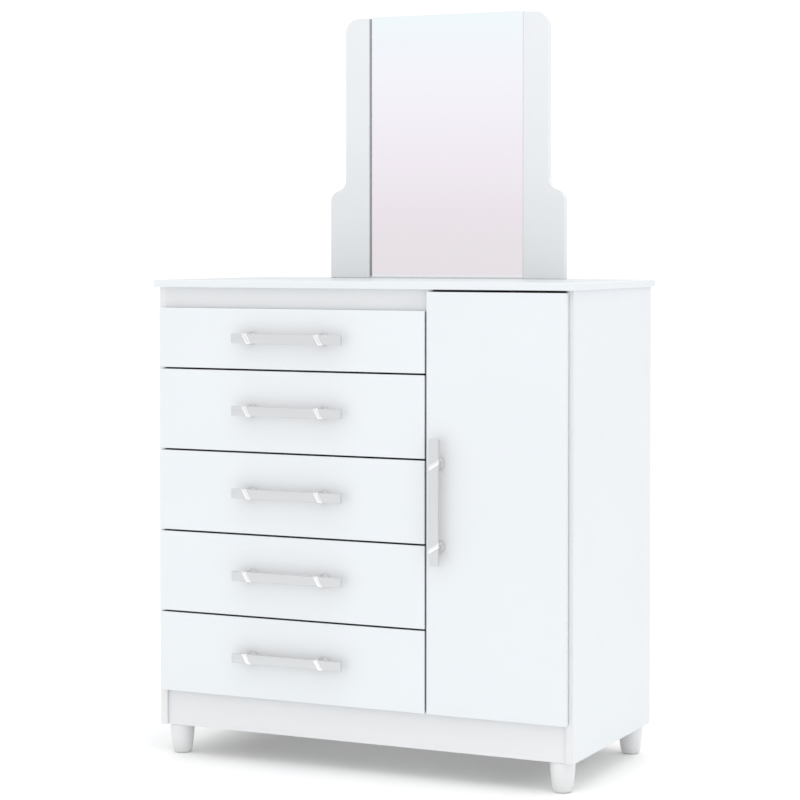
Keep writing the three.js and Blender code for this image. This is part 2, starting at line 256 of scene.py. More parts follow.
def hardboard(name, color, dark):
    """Thin pressed-fibre board, painted on its face."""
    g = Graph(name)
    fibre = g.noise(700.0, 4.0, 0.65, stretch=(1.0, 1.0, 0.25), distortion=0.4)
    blotch = g.noise(9.0, 3.0, 0.6)
    base = g.mix(g.ramp(fibre, 0.35, 0.7, 0.0, 0.35), color, dark)
    base = g.mix(g.ramp(blotch, 0.4, 0.75, 0.0, 0.25), base, dark)
    g.link(base, g.shader.inputs["Base Color"])
    g.link(g.ramp(fibre, 0.3, 0.7, 0.6, 0.8), g.shader.inputs["Roughness"])
    g.link(g.bump(fibre, 0.25, 0.00025), g.shader.inputs["Normal"])
    g.shader.inputs["Specular IOR Level"].default_value = 0.3
    return g.mat


M_HARDBOARD = hardboard("painted_hardboard", (0.84, 0.835, 0.82), (0.74, 0.73, 0.70))


def chipboard(name):
    """Bare pressed-wood edge: pale chips and darker voids."""
    g = Graph(name)
    chips = g.node("ShaderNodeTexVoronoi")
    chips.inputs["Scale"].default_value = 620.0
    g.link(g.coords((1.0, 1.0, 0.45)), chips.inputs["Vector"])
    pale = g.mix(g.ramp(chips.outputs["Color"], 0.2, 0.8, 0.0, 1.0), (0.46, 0.33, 0.20), (0.66, 0.53, 0.37))
    voids = g.ramp(g.noise(900.0, 3.0, 0.6), 0.32, 0.45, 0.0, 1.0)
    g.link(g.mix(voids, (0.22, 0.145, 0.085), pale), g.shader.inputs["Base Color"])
    g.shader.inputs["Roughness"].default_value = 0.85
    g.link(g.bump(g.noise(900.0, 3.0, 0.6), 0.5, 0.0006), g.shader.inputs["Normal"])
    return g.mat


M_RAW = chipboard("bare_chipboard_edge")


def plastic(name, color, rough=(0.30, 0.42), broad_shade=0.82):
    g = Graph(name)
    # painted shade: darker where other surfaces come within 50 mm
    shade = g.ramp(g.occlusion(0.05), 0.15, 0.9, broad_shade, 1.0)
    shade = g.mul(shade, g.ramp(g.noise(40.0, 2.0, 0.5), 0.35, 0.65, 0.98, 1.0))
    g.link(g.mix(shade, (0.0, 0.0, 0.0), color), g.shader.inputs["Base Color"])
    g.link(g.ramp(g.noise(160.0, 3.0, 0.6), 0.3, 0.7, *rough), g.shader.inputs["Roughness"])
    g.link(g.bump(g.noise(1400.0, 2.0, 0.5), 0.12, 0.00008), g.shader.inputs["Normal"])
    return g.mat


M_FOOT = plastic("foot_white_plastic", (0.79, 0.80, 0.80))
M_GLIDE = plastic("foot_glide_plastic", (0.62, 0.62, 0.61), rough=(0.5, 0.65))
M_ROLLER = plastic("roller_nylon", (0.80, 0.79, 0.75))
M_PIN = plastic("shelf_pin_plastic", (0.82, 0.82, 0.80))


def metal(name, color, rough=(0.20, 0.30), metallic=1.0, brush=None, wave=None, coat=0.0, joint=None):
    g = Graph(name)
    stretch = brush or (1, 1, 1)
    lines = g.noise(260.0 if brush else 120.0, 3.0, 0.6, stretch=stretch)
    base = g.mix(g.ramp(lines, 0.3, 0.7, 0.0, 1.0), tint(color, 0.955), color)
    # painted shade: darker where other parts come close
    if joint:
        base = g.mix(g.ramp(g.occlusion(joint[0]), 0.30, 0.85, joint[1], 1.0), (0.0, 0.0, 0.0), base)
    g.link(base, g.shader.inputs["Base Color"])
    g.link(g.ramp(lines, 0.3, 0.7, *rough), g.shader.inputs["Roughness"])
    normal = g.bump(lines, 0.08 if brush else 0.05, 0.0001)
    if wave:
        normal = g.bump(g.noise(wave[0], 1.0, 0.5), wave[1], wave[2], below=normal)
    g.link(normal, g.shader.inputs["Normal"])
    g.shader.inputs["Metallic"].default_value = metallic
    g.shader.inputs["Coat Weight"].default_value = coat
    g.shader.inputs["Coat Roughness"].default_value = 0.1
    return g.mat


# the bar and its feet carry painted shade near the bands, the feet and the front
M_BAR = metal("satin_silver_bar", (0.668, 0.684, 0.692), rough=(0.30, 0.42), metallic=0.55,
              brush=(0.03, 1.0, 1.0), joint=(0.005, 0.62))
M_CHROME = metal("chrome_band", (0.885, 0.89, 0.895), rough=(0.05, 0.10), wave=(90.0, 0.04, 0.0004))
M_FLARE = metal("satin_silver_foot", (0.565, 0.578, 0.586), rough=(0.30, 0.40), metallic=0.45, joint=(0.006, 0.80))
M_STEEL = metal("nickel_plated_steel", (0.66, 0.66, 0.645), rough=(0.16, 0.30), wave=(300.0, 0.05, 0.0002))
M_ZINC = metal("zinc_fastener", (0.56, 0.56, 0.55), rough=(0.26, 0.42))
M_NAIL = metal("nail_head", (0.50, 0.50, 0.49), rough=(0.3, 0.5))


def enamel(name):
    g = Graph(name)
    g.link(g.mix(g.ramp(g.noise(60.0), 0.35, 0.65, 0.0, 1.0), (0.757, 0.752, 0.729), (0.775, 0.770, 0.745)),
           g.shader.inputs["Base Color"])
    g.link(g.ramp(g.noise(420.0), 0.3, 0.7, 0.28, 0.42), g.shader.inputs["Roughness"])
    g.link(g.bump(g.noise(700.0, 2.0, 0.5), 0.25, 0.00015), g.shader.inputs["Normal"])
    return g.mat


M_ENAMEL = enamel("runner_enamel_coat")


def silvering(name):
    """The face of the mirror: silver seen through clear glass."""
    g = Graph(name)
    haze = g.ramp(g.noise(3.0, 3.0, 0.6), 0.4, 0.7, 0.004, 0.016)
    g.link(g.mix(g.ramp(g.noise(1.3, 2.0, 0.5), 0.3, 0.7, 0.0, 1.0), (0.928, 0.942, 0.946), (0.938, 0.949, 0.951)),
           g.shader.inputs["Base Color"])
    g.link(haze, g.shader.inputs["Roughness"])
    g.shader.inputs["Metallic"].default_value = 1.0
    return g.mat


M_MIRROR = silvering("silvered_face")


def glass_edge(name):
    g = Graph(name)
    streak = g.noise(60.0, 3.0, 0.6, stretch=(8.0, 8.0, 0.5))
    g.link(g.mix(streak, (0.74, 0.84, 0.81), (0.86, 0.92, 0.90)), g.shader.inputs["Base Color"])
    g.link(g.ramp(streak, 0.3, 0.7, 0.05, 0.16), g.shader.inputs["Roughness"])
    g.shader.inputs["Transmission Weight"].default_value = 0.35
    g.shader.inputs["IOR"].default_value = 1.52
    return g.mat


M_GLASS_EDGE = glass_edge("glass_edge_polished")
M_MIRROR_BACK = plastic("mirror_backing_paint", (0.36, 0.37, 0.38), rough=(0.5, 0.7))
# painted shade: a dark grey standing for the shaded recess walls beside the glass
M_RECESS_SHADE = plastic("grey_recess_shade", (0.385, 0.388, 0.402), rough=(0.40, 0.5), broad_shade=0.75)

# painted shade: a pale grey strip for the contact shadow where the glass meets the top
M_CONTACT_SHADE = plastic("pale_contact_shade", (0.70, 0.705, 0.715), rough=(0.40, 0.5), broad_shade=0.9)


# ------------------------------------------------------------------ geometry
def to_object(name, bm, mats, smooth=True, weighted=True):
    bmesh.ops.recalc_face_normals(bm, faces=bm.faces)
    mesh = bpy.data.meshes.new(name)
    bm.to_mesh(mesh)
    bm.free()
    for m in mats:
        mesh.materials.append(m)
    if smooth:
        mesh.polygons.foreach_set("use_smooth", [True] * len(mesh.polygons))
    obj = bpy.data.objects.new(name, mesh)
    scene.collection.objects.link(obj)
    if weighted:
        w = obj.modifiers.new("normals", "WEIGHTED_NORMAL")
        w.keep_sharp = True
        w.weight = 60
    return obj


def place(obj, body, replaces=()):
    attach(obj, body)
    if replaces:
        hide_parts(*replaces)
    return obj


def bevel_sharp(bm, radius, segments=3, limit=28):
    edges = [e for e in bm.edges if len(e.link_faces) == 2 and e.calc_face_angle(0.0) > math.radians(limit)]
    bmesh.ops.bevel(bm, geom=edges, offset=radius / 1000, offset_type="OFFSET", segments=segments,
                    profile=0.5, affect="EDGES", clamp_overlap=True)


def node_bmesh(node):
    bm = bmesh.new()
    bm.from_mesh(NODES[node].data)
    bmesh.ops.remove_doubles(bm, verts=bm.verts, dist=2e-6)
    bmesh.ops.dissolve_limit(bm, angle_limit=math.radians(0.5), verts=bm.verts, edges=bm.edges)
    return bm


DIRECTIONS = {"+x": (1, 0, 0), "-x": (-1, 0, 0), "+y": (0, 1, 0), "-y": (0, -1, 0), "+z": (0, 0, 1), "-z": (0, 0, -1)}


def grow(bm, faces):
    """Moves the outermost faces outwards, given as a direction and millimetres, to close a joint."""
    for d, by in faces.items():
        v = Vector(DIRECTIONS[d])
        far = max(x.co.dot(v) for x in bm.verts)
        for x in bm.verts:
            if x.co.dot(v) > far - 1e-5:
                x.co += v * (by / 1000)


def board(node, body, mat, radius=0.8, segments=3, raw=(), name=None, raw_mat=None, reaches=None, other=None):
    """The node's own shape with softly rounded edges; raw faces show bare chipboard.
    other lists (directions, material) for faces with a finish of their own."""
    bm = node_bmesh(node)
    grow(bm, reaches or {})
    bevel_sharp(bm, radius, segments)
    bm.normal_update()
    mats = [mat]
    for dirs, second in [(raw, raw_mat or M_RAW)] + (other or []):
        if not dirs:
            continue
        mats.append(second)
        for f in bm.faces:
            if any(f.normal.dot(Vector(DIRECTIONS[d])) > 0.995 for d in dirs):
                f.material_index = len(mats) - 1
    obj = to_object(name or node + "_board", bm, mats)
    return place(obj, body, (node,))


def box_bmesh(lo, hi, bm=None):
    """A box between two corners given in metres."""
    bm = bm or bmesh.new()
    m = Matrix.Translation((Vector(lo) + Vector(hi)) / 2) @ Matrix.Diagonal((*(Vector(hi) - Vector(lo)), 1))
    bmesh.ops.create_cube(bm, size=1.0, matrix=m)
    return bm


def lathe_bmesh(profile, segments=48, bm=None, matrix=None):
    """Turns (r, h) in millimetres about Z; the profile starts and ends on the axis."""
    bm = bm or bmesh.new()
    matrix = matrix or Matrix.Identity(4)
    rings = []
    for r, h in profile:
        if r < 1e-6:
            rings.append([bm.verts.new(matrix @ Vector((0, 0, h / 1000)))])
        else:
            rings.append([bm.verts.new(matrix @ Vector((r / 1000 * math.cos(2 * math.pi * i / segments),
                                                        r / 1000 * math.sin(2 * math.pi * i / segments), h / 1000)))
                          for i in range(segments)])
    for a, b in zip(rings, rings[1:]):
        for i in range(segments):
            j = (i + 1) % segments
            if len(a) == 1 and len(b) == 1:
                continue
            if len(a) == 1:
                bm.faces.new((a[0], b[j], b[i]))
            elif len(b) == 1:
                bm.faces.new((a[i], a[j], b[0]))
            else:
                bm.faces.new((a[i], a[j], b[j], b[i]))
    return bm


def along(axis):
    """Rotation that takes +Z to the axis."""
    return Vector((0, 0, 1)).rotation_difference(Vector(axis)).to_matrix().to_4x4()


def screw_head(bm, centre, axis, radius=3.6, height=0.8, arm=0.58, deep=0.9, turn=0.4):
    """A low domed head with a cross recess, its seat at centre, facing along axis. Millimetres."""
    m = Matrix.Translation(centre) @ along(axis) @ Matrix.Rotation(turn, 4, "Z")
    seg = 24

    def ring(r, h):
        return [bm.verts.new(m @ Vector((r / 1000 * math.cos(2 * math.pi * i / seg), r / 1000 * math.sin(2 * math.pi * i / seg), h / 1000))) for i in range(seg)]

    rings = [ring(radius, 0), ring(radius, height * 0.35), ring(radius * 0.93, height * 0.75), ring(radius * 0.80, height)]
    bm.faces.new(list(reversed(rings[0])))
    for a, b in zip(rings, rings[1:]):
        for i in range(seg):
            j = (i + 1) % seg
            bm.faces.new((a[i], a[j], b[j], b[i]))
    w, l = radius * 0.14, radius * arm
    plus = [(w, w), (w, l), (-w, l), (-w, w), (-l, w), (-l, -w), (-w, -w), (-w, -l), (w, -l), (w, -w), (l, -w), (l, w)]
    top = [bm.verts.new(m @ Vector((x / 1000, y / 1000, height / 1000))) for x, y in plus]
    low = [bm.verts.new(m @ Vector((x * 0.8 / 1000, y * 0.8 / 1000, (height - deep * height) / 1000))) for x, y in plus]
    k = len(plus)
    inner = [bm.edges.new((top[i], top[(i + 1) % k])) for i in range(k)]
    outer = [e for e in rings[-1][0].link_edges if e.other_vert(rings[-1][0]) in rings[-1]]
    loop = [bm.edges.get((rings[-1][i], rings[-1][(i + 1) % seg])) for i in range(seg)]
    bmesh.ops.triangle_fill(bm, edges=loop + inner, use_beauty=True, use_dissolve=False, normal=(m.to_3x3() @ Vector((0, 0, 1))))
    for i in range(k):
        j = (i + 1) % k
        bm.faces.new((top[i], top[j], low[j], low[i]))
    bm.faces.new(list(reversed(low)))


def sweep_bmesh(bm, rings, close=False):
    """Skins a list of equal closed rings of points and caps both ends."""
    made = [[bm.verts.new(p) for p in r] for r in rings]
    n = len(made[0])
    for a, b in zip(made, made[1:] + ([made[0]] if close else [])):
        for i in range(n):
            j = (i + 1) % n
            bm.faces.new((a[i], a[j], b[j], b[i]))
    if not close:
        bm.faces.new(list(reversed(made[0])))
        bm.faces.new(made[-1])
    return bm


def prism(bm, outline, axis, a, b):
    """A closed outline pushed along one axis from a to b; everything in millimetres.
    The outline gives the other two coordinates in the order x, d, z."""
    def point(u, v, w):
        if axis == "x":
            return P(w, u, v)
        if axis == "d":
            return P(u, w, v)
        return P(u, v, w)
    low = [bm.verts.new(point(u, v, a)) for u, v in outline]
    top = [bm.verts.new(point(u, v, b)) for u, v in outline]
    n = len(outline)
    bm.faces.new(low)
    bm.faces.new(list(reversed(top)))
    for i in range(n):
        j = (i + 1) % n
        bm.faces.new((low[i], low[j], top[j], top[i]))
    return bm


# ------------------------------------------------------------------ carcass
board("top_slab", "carcass", M_SLAB, radius=1.6, segments=5, raw=("+y",),
      other=[(("+z",), M_SLAB_FACE), (("-x", "+x"), M_CARCASS)])
for side in ("left", "right"):
    board(f"side_panel_{side}", "carcass", M_CARCASS, radius=0.4, raw=("+y",), reaches={"+z": 0.35},
          other=[(("-y",), M_PANEL_EDGE[side])])
BUTT = {"-x": 0.3, "+x": 0.3}
board("top_front_rail", "carcass", M_RAIL, radius=0.25, reaches={**BUTT, "+z": 0.3})
board("plinth_rail", "carcass", M_RAIL, radius=0.25, reaches={**BUTT, "+z": 0.3})
board("centre_divider", "carcass", M_UPRIGHT, radius=0.4, raw=("+y",), reaches={"+z": 0.3, "-z": 0.3})
for n in ("bottom_panel", "top_rear_rail"):
    board(n, "carcass", M_INNER, radius=0.4, raw=("+y",), reaches=BUTT)
for n in ("shelf_lower", "shelf_upper"):
    board(n, "carcass", M_INNER, radius=0.6, raw=("+y",))
for side in ("left", "right"):
    board(f"foot_rail_{side}", "carcass", M_INNER, radius=0.6)
board("back_panel", "carcass", M_HARDBOARD, radius=0.3, segments=2, name="back_panel_sheet")

# turned feet: a softly bulging taper with a rounded rim, on a thin glide
FOOT = [(0, 0.5), (15.2, 0.5), (16.6, 0.9), (17.6, 1.9), (18.5, 3.5), (19.2, 5.9), (20.1, 9.5), (20.9, 13.7), (21.45, 18.0),
        (22.1, 24.0), (22.7, 30.0), (23.4, 37.0), (24.0, 45.0), (24.55, 52.0), (24.85, 57.0), (24.9, 58.6), (24.6, 59.3),
        (24.0, 59.7), (0, 59.7)]
for corner in ("front_left", "front_right", "rear_left", "rear_right"):
    lo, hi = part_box("foot_" + corner)
    at = Matrix.Translation(((lo.x + hi.x) / 2, (lo.y + hi.y) / 2, 0))
    foot = to_object(f"foot_{corner}_turned", lathe_bmesh(FOOT, 72, matrix=at), [M_FOOT], weighted=False)
    place(foot, "carcass", ("foot_" + corner,))
    glide = to_object(f"foot_{corner}_glide", lathe_bmesh([(0, 0), (13.6, 0), (14.1, 0.2), (14.1, 0.45), (0, 0.45)], 48, matrix=at),
                      [M_GLIDE], weighted=True)
    place(glide, "carcass")

# nails round the back sheet
nails = bmesh.new()
for z in range(80, 950, 87):
    for x in (-442, 152, 442):
        lathe_bmesh([(0, 0), (2.2, 0), (2.0, 0.35), (1.2, 0.6), (0, 0.7)], 12, bm=nails, matrix=Matrix.Translation(P(x, 437.3, z)) @ along((0, 1, 0)))
for x in range(-400, 420, 80):
    for z in (143, 944):
        lathe_bmesh([(0, 0), (2.2, 0), (2.0, 0.35), (1.2, 0.6), (0, 0.7)], 12, bm=nails, matrix=Matrix.Translation(P(x, 437.3, z)) @ along((0, 1, 0)))
place(to_object("back_panel_nails", nails, [M_NAIL], weighted=False), "carcass")

# shelf pins under the two shelves
pins = bmesh.new()
for z in (410, 680):
    for d in (60, 392):
        for wall, s in ((160.3, 1), (434.7, -1)):
            m = Matrix.Translation(P(wall, d, z - 3.2)) @ along((s, 0, 0))
            lathe_bmesh([(0, 0), (4.2, 0), (4.2, 1.2), (2.6, 1.4), (2.6, 7.0), (2.2, 7.6), (0, 7.6)], 20, bm=pins, matrix=m)
place(to_object("shelf_pins", pins, [M_PIN], weighted=True), "carcass")


# ------------------------------------------------------------------ handles
BAR_L, BAR_H, BAR_T = 243.0, 19.0, 9.0
BAND_AT = (-87.9, 71.6)
FEET_AT = (-87.0, 73.0)
SLANT = 0.60


def superbox_section(h, t, r, n=5):
    """Rounded rectangle in (depth, height), depth 0 at the face, running anticlockwise from the lower rear."""
    pts = []
    for cx, cy, a0 in ((t - 0.8, -h / 2 + 0.8, -90), (t - 0.8, h / 2 - 0.8, 0)):
        for i in range(3):
            a = math.radians(a0 + 45 * i)
            pts.append((cx + 0.8 * math.cos(a), cy + 0.8 * math.sin(a)))
    for cx, cy, a0 in ((r, h / 2 - r, 90), (r, -h / 2 + r, 180)):
        for i in range(n + 1):
            a = math.radians(a0 + 90 * i / n)
            pts.append((cx + r * math.cos(a), cy + r * math.sin(a)))
    return pts


def handle(prefix, body, centre, upright, nodes):
    """A flat satin bar on two flared feet, with two slanting chrome bands.
    Local x runs along the bar, local y is depth from its face."""
    turn = Matrix.Rotation(math.radians(-90), 4, "Y") if upright else Matrix.Identity(4)
    at = Matrix.Translation(centre) @ turn

    def local(x, d, z):
        return Vector((x / 1000, d / 1000, z / 1000))

    bar = bmesh.new()
    rings = []
    half = BAR_L / 2
    # the section shrinks over the last 1.4 mm at both ends, which rounds them
    steps = [(-half, 1.4), (-half + 0.25, 0.75), (-half + 0.7, 0.3), (-half + 1.4, 0.0)]
    steps += [(-half + 1.4 + (BAR_L - 2.8) * i / 12, 0.0) for i in range(1, 12)]
    steps += [(half - 1.4, 0.0), (half - 0.7, 0.3), (half - 0.25, 0.75), (half, 1.4)]
    for x, inset in steps:
        ring = []
        for d, z in superbox_section(BAR_H, BAR_T, 1.6):
            d2 = BAR_T / 2 + (d - BAR_T / 2) * (1 - 2 * inset / BAR_T)
            z2 = z * (1 - 2 * inset / BAR_H)
            ring.append(local(x, d2, z2))
        rings.append(ring)
    sweep_bmesh(bar, rings)
    post_end = 26.0 - 0.3
    obj = to_object(prefix + "_bar", bar, [M_BAR])
    obj.matrix_world = at
    place(obj, body, nodes)
    feet = bmesh.new()
    for x in FEET_AT:
        m = Matrix.Translation(local(x, BAR_T - 0.4, 0)) @ along((0, 1, 0))
        depth = post_end - BAR_T + 0.4
        flare = [(7.4, 0), (6.9, 0.9), (6.5, 2.2), (6.4, 3.8), (6.5, 5.8), (6.9, 7.8), (7.5, 9.7), (8.4, 11.5), (9.6, 13.1),
                 (11.0, 14.4), (12.0, 15.1), (12.4, 15.5), (12.5, 16.0), (12.4, 16.6)]
        lathe_bmesh([(0, 0)] + flare + [(12.2, depth), (0, depth)], 56, bm=feet, matrix=m)
    obj = to_object(prefix + "_feet", feet, [M_FLARE])
    obj.matrix_world = at
    place(obj, body)

    bands = bmesh.new()
    width, rise = 12.2, 1.15
    for x0 in BAND_AT:
        # path round the bar: rear bottom, front, rear top; offset 0 lies on the bar
        section = superbox_section(BAR_H, BAR_T, 1.6, 6)
        # order the points from the lower rear, round the front, to the upper rear
        front = section[6:]
        path = [(BAR_T - 0.6, BAR_H / 2)] + [(BAR_T * 0.6, BAR_H / 2)] + front + [(BAR_T * 0.6, -BAR_H / 2), (BAR_T - 0.6, -BAR_H / 2)]
        dense = []
        for (d0, z0), (d1, z1) in zip(path, path[1:]):
            k = max(1, int(math.hypot(d1 - d0, z1 - z0) / 1.6))
            dense += [(d0 + (d1 - d0) * i / k, z0 + (z1 - z0) * i / k) for i in range(k)]
        dense.append(path[-1])
        rings = []
        for i, (d, z) in enumerate(dense):
            d0, z0 = dense[max(0, i - 1)]
            d1, z1 = dense[min(len(dense) - 1, i + 1)]
            t = Vector((d1 - d0, z1 - z0)).normalized()
            nd, nz = -abs(t.y) if d < BAR_T / 2 + 2 and abs(t.y) > 1e-3 else 0.0, 0.0
            nrm = Vector((t.y, -t.x))
            centre_dir = Vector((d - BAR_T / 2, z))
            if nrm.dot(centre_dir) < 0:
                nrm = -nrm
            lean = -SLANT * max(-BAR_H / 2, min(BAR_H / 2, z))
            ring = []
            for j in range(11):
                u = -1 + 2 * j / 10
                lift = rise * (1 - abs(u) ** 2.6) ** 0.6 + 0.05
                ring.append(local(x0 + lean + u * width / 2, d + nrm.x * lift, z + nrm.y * lift))
            for u in (0.9, -0.9):
                ring.append(local(x0 + lean + u * width / 2, d - nrm.x * 0.4, z - nrm.y * 0.4))
            rings.append(ring)
        sweep_bmesh(bands, rings)
    obj = to_object(prefix + "_bands", bands, [M_CHROME], weighted=False)
    for p in obj.data.polygons:
        p.use_smooth = True
    obj.matrix_world = at
    place(obj, body)


for n in range(1, 6):
    lo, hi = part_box(f"drawer_{n}_handle")
    handle(f"drawer_{n}_handle", f"drawer_{n}", Vector(((lo.x + hi.x) / 2, lo.y, (lo.z + hi.z) / 2)), False, (f"drawer_{n}_handle",))
lo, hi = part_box("door_handle")
handle("door_handle", "door", Vector(((lo.x + hi.x) / 2, lo.y, (lo.z + hi.z) / 2)), True, ("door_handle",))

# ------------------------------------------------------------------ drawers
WALL = {"left": (-434.7, 1), "right": (144.7, -1)}


def runner_details(n, z0, body):
    """Sliding halves with their rear rollers on the drawer, and the fixed halves' front rollers."""
    for side, (wall, s) in WALL.items():
        box_side = -422.3 if side == "left" else 132.3
        # sliding half: web on the box, lip under it, flange reaching into the fixed half
        x0, x1 = box_side - s * 0.15, box_side - s * 1.35
        outline = [(x0, z0 + 12), (x0, z0 - 0.2), (x0 + s * 9, z0 - 0.2), (x0 + s * 9, z0 - 1.4), (x1, z0 - 1.4),
                   (x1, z0 + 16.6), (x1 - s * 7.0, z0 + 16.6), (x1 - s * 7.0, z0 + 17.8), (x0, z0 + 17.8)]
        bm = prism(bmesh.new(), outline, "d", 4.0, 396.0)
        bevel_sharp(bm, 0.22, 2)
        place(to_object(f"runner_{n}_{side}_slide", bm, [M_ENAMEL]), f"drawer_{n}")
        # rear roller, running in the channel
        wheel = [(0, 0), (3.0, 0), (3.2, 0.5), (9.2, 0.5), (10.2, 1.2), (10.4, 2.0), (10.4, 4.6), (10.2, 5.4), (9.2, 6.1), (3.2, 6.1), (3.0, 6.6), (0, 6.6)]
        m = Matrix.Translation(P(x1 - s * 0.1, 384, z0 + 5.9)) @ along((-s, 0, 0))
        place(to_object(f"runner_{n}_{side}_rear_roller", lathe_bmesh(wheel, 40, matrix=m), [M_ROLLER]), f"drawer_{n}")
        # front roller on the fixed half, under the flange
        m = Matrix.Translation(P(wall + s * 1.45, 15, z0 + 6.1)) @ along((s, 0, 0))
        front = bmesh.new()
        lathe_bmesh([(0, 0), (3.0, 0), (3.2, 0.4), (9.2, 0.4), (10.0, 1.0), (10.2, 1.8), (10.2, 4.6), (10.0, 5.4), (9.2, 6.0), (3.2, 6.0), (0, 6.0)], 40, bm=front, matrix=m)
        place(to_object(f"runner_{n}_{side}_front_roller", front, [M_ROLLER]), "carcass")
        screws = bmesh.new()
        for d in (44, 210, 372):
            screw_head(screws, P(wall + s * 1.45, d, z0 + 7), (s, 0, 0), radius=3.2, height=1.1, turn=d * 0.37)
        place(to_object(f"runner_{n}_{side}_screws", screws, [M_ZINC]), "carcass")


for n in range(1, 6):
    body = f"drawer_{n}"
    board(f"drawer_{n}_front", body, M_EDGE, radius=0.8,
          other=[(("-y", "+y"), M_DRAWER), (("-x", "+x"), M_SIDE_EDGE)])
    board(f"drawer_{n}_box", body, M_INNER, radius=0.6)
    board(f"drawer_{n}_bottom", body, M_HARDBOARD, radius=0.2, segments=2, name=f"drawer_{n}_bottom_sheet")
    lo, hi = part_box(f"drawer_{n}_box")
    z0 = lo.z * 1000
    runner_details(n, z0, body)
    for side in ("left", "right"):
        r = NODES[f"runner_{n}_{side}"]
        r.data.materials.clear()
        r.data.materials.append(M_ENAMEL)
    # cam fittings and handle screws on the inside
    cams = bmesh.new()
    mid = (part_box(f"drawer_{n}_front")[0].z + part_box(f"drawer_{n}_front")[1].z) * 500
    for x, s in ((-410.3, 1), (120.3, -1)):
        for dz in ((24, hi.z * 1000 - z0 - 22) if n > 1 else (38,)):
            screw_head(cams, P(x, 32, z0 + dz), (s, 0, 0), radius=6.6, height=0.5, arm=0.62, deep=0.85, turn=0.2 + dz)
    place(to_object(f"drawer_{n}_cam_fittings", cams, [M_ZINC]), body)
    heads = bmesh.new()
    for dx in FEET_AT:
        screw_head(heads, P(-140.4 + dx, -1, mid + 1.4), (0, 1, 0), radius=4.4, height=1.3, turn=dx)
    place(to_object(f"drawer_{n}_handle_screws", heads, [M_ZINC]), body)

# ------------------------------------------------------------------ door and hinges
board("door_panel", "door", M_EDGE, radius=0.8,
      other=[(("-y", "+y"), M_LACQUER), (("-x", "+x"), M_SIDE_EDGE)])
heads = bmesh.new()
for dz in FEET_AT:
    screw_head(heads, P(179.7, -1, 545.7 + dz), (0, 1, 0), radius=4.4, height=1.3, turn=dz)
place(to_object("door_handle_screws", heads, [M_ZINC]), "door")

for level, z in (("lower", 234), ("upper", 848)):
    for part, body in (("cup", "door"), ("arm", "carcass")):
        bm = node_bmesh(f"hinge_{part}_{level}")
        bevel_sharp(bm, 0.35, 2, limit=35)
        place(to_object(f"hinge_{part}_{level}_plated", bm, [M_STEEL]), body, (f"hinge_{part}_{level}",))
    screws = bmesh.new()
    for dz in (-20, 20):
        screw_head(screws, P(417.2, 0.5, z + dz), (0, 1, 0), radius=3.9, height=0.9, turn=dz)
    place(to_object(f"hinge_cup_{level}_screws", screws, [M_ZINC]), "door")
    screws = bmesh.new()
    for dz in (-19, 19):
        screw_head(screws, P(432.3, 37.5, z + dz), (-1, 0, 0), radius=3.6, height=0.9, turn=dz)
    screw_head(screws, P(419.2, 52, z), (-1, 0, 0), radius=3.8, height=0.9, turn=0.3)
    place(to_object(f"hinge_arm_{level}_screws", screws, [M_ZINC]), "carcass")
    # the two links between arm and cup
    links = bmesh.new()
    for dz, x0, width in ((-4.1, 416.4, 1.6), (4.1, 416.4, 1.6), (0.0, 421.6, 4.6)):
        rings = []
        for i in range(25):
            d = 6.0 - 14.0 * i / 24
            half_t, half_w = 0.8, width / 2
            rings.append([P(x0 - half_t, d, z + dz - half_w), P(x0 + half_t, d, z + dz - half_w),
                          P(x0 + half_t, d, z + dz + half_w), P(x0 - half_t, d, z + dz + half_w)])
        sweep_bmesh(links, rings)
    link = to_object(f"hinge_links_{level}", links, [M_STEEL], smooth=False, weighted=False)
    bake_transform(link)

# ------------------------------------------------------------------ mirror
for side in ("left", "right"):
    board(f"mirror_stile_{side}", "carcass", M_STILE, radius=0.9, segments=3, reaches={"-z": 0.3})
    board(f"mirror_batten_{side}", "carcass", M_INNER, radius=0.8, raw=("+z", "-z"), reaches={"-z": 0.3})
board("mirror_back_board", "carcass", M_HARDBOARD, radius=0.3, segments=2, reaches={"-z": 0.3})

# the pane: arrised edges, silvered face, painted back
bm = node_bmesh("mirror_glass")
bevel_sharp(bm, 0.35, 2)
bm.normal_update()
for f in bm.faces:
    f.material_index = 0 if f.normal.y < -0.99 else 2 if f.normal.y > 0.99 else 1
pane = to_object("mirror_pane", bm, [M_MIRROR, M_GLASS_EDGE, M_MIRROR_BACK])
place(pane, "carcass", ("mirror_glass",))

# grey strips on both sides of the glass and a pale low one at its foot: painted shade for the dark recess walls beside
# the glass and the contact shadow under it
for side, s in (("left", -1), ("right", 1)):
    a, b = s * 177.3, s * 176.7
    bm = box_bmesh(P(min(a, b), 412.9, 966.8), P(max(a, b), 418.3, 1519.6))
    bevel_sharp(bm, 0.12, 1)
    place(to_object(f"mirror_recess_shade_strip_{side}", bm, [M_RECESS_SHADE]), "carcass")
# painted contact shadow along the foot of the glass
bm = box_bmesh(P(-176.6, 413.2, 966.75), P(176.6, 418.3, 969.6))
bevel_sharp(bm, 0.25, 2)
place(to_object("mirror_contact_shade_strip", bm, [M_CONTACT_SHADE]), "carcass")

screws = bmesh.new()
for x in (-150, 150):
    for z in (990, 1080, 1220, 1340):
        screw_head(screws, P(x, 445.0, z), (0, 1, 0), radius=4.0, height=0.9, turn=z + x)
place(to_object("mirror_batten_screws", screws, [M_ZINC]), "carcass")

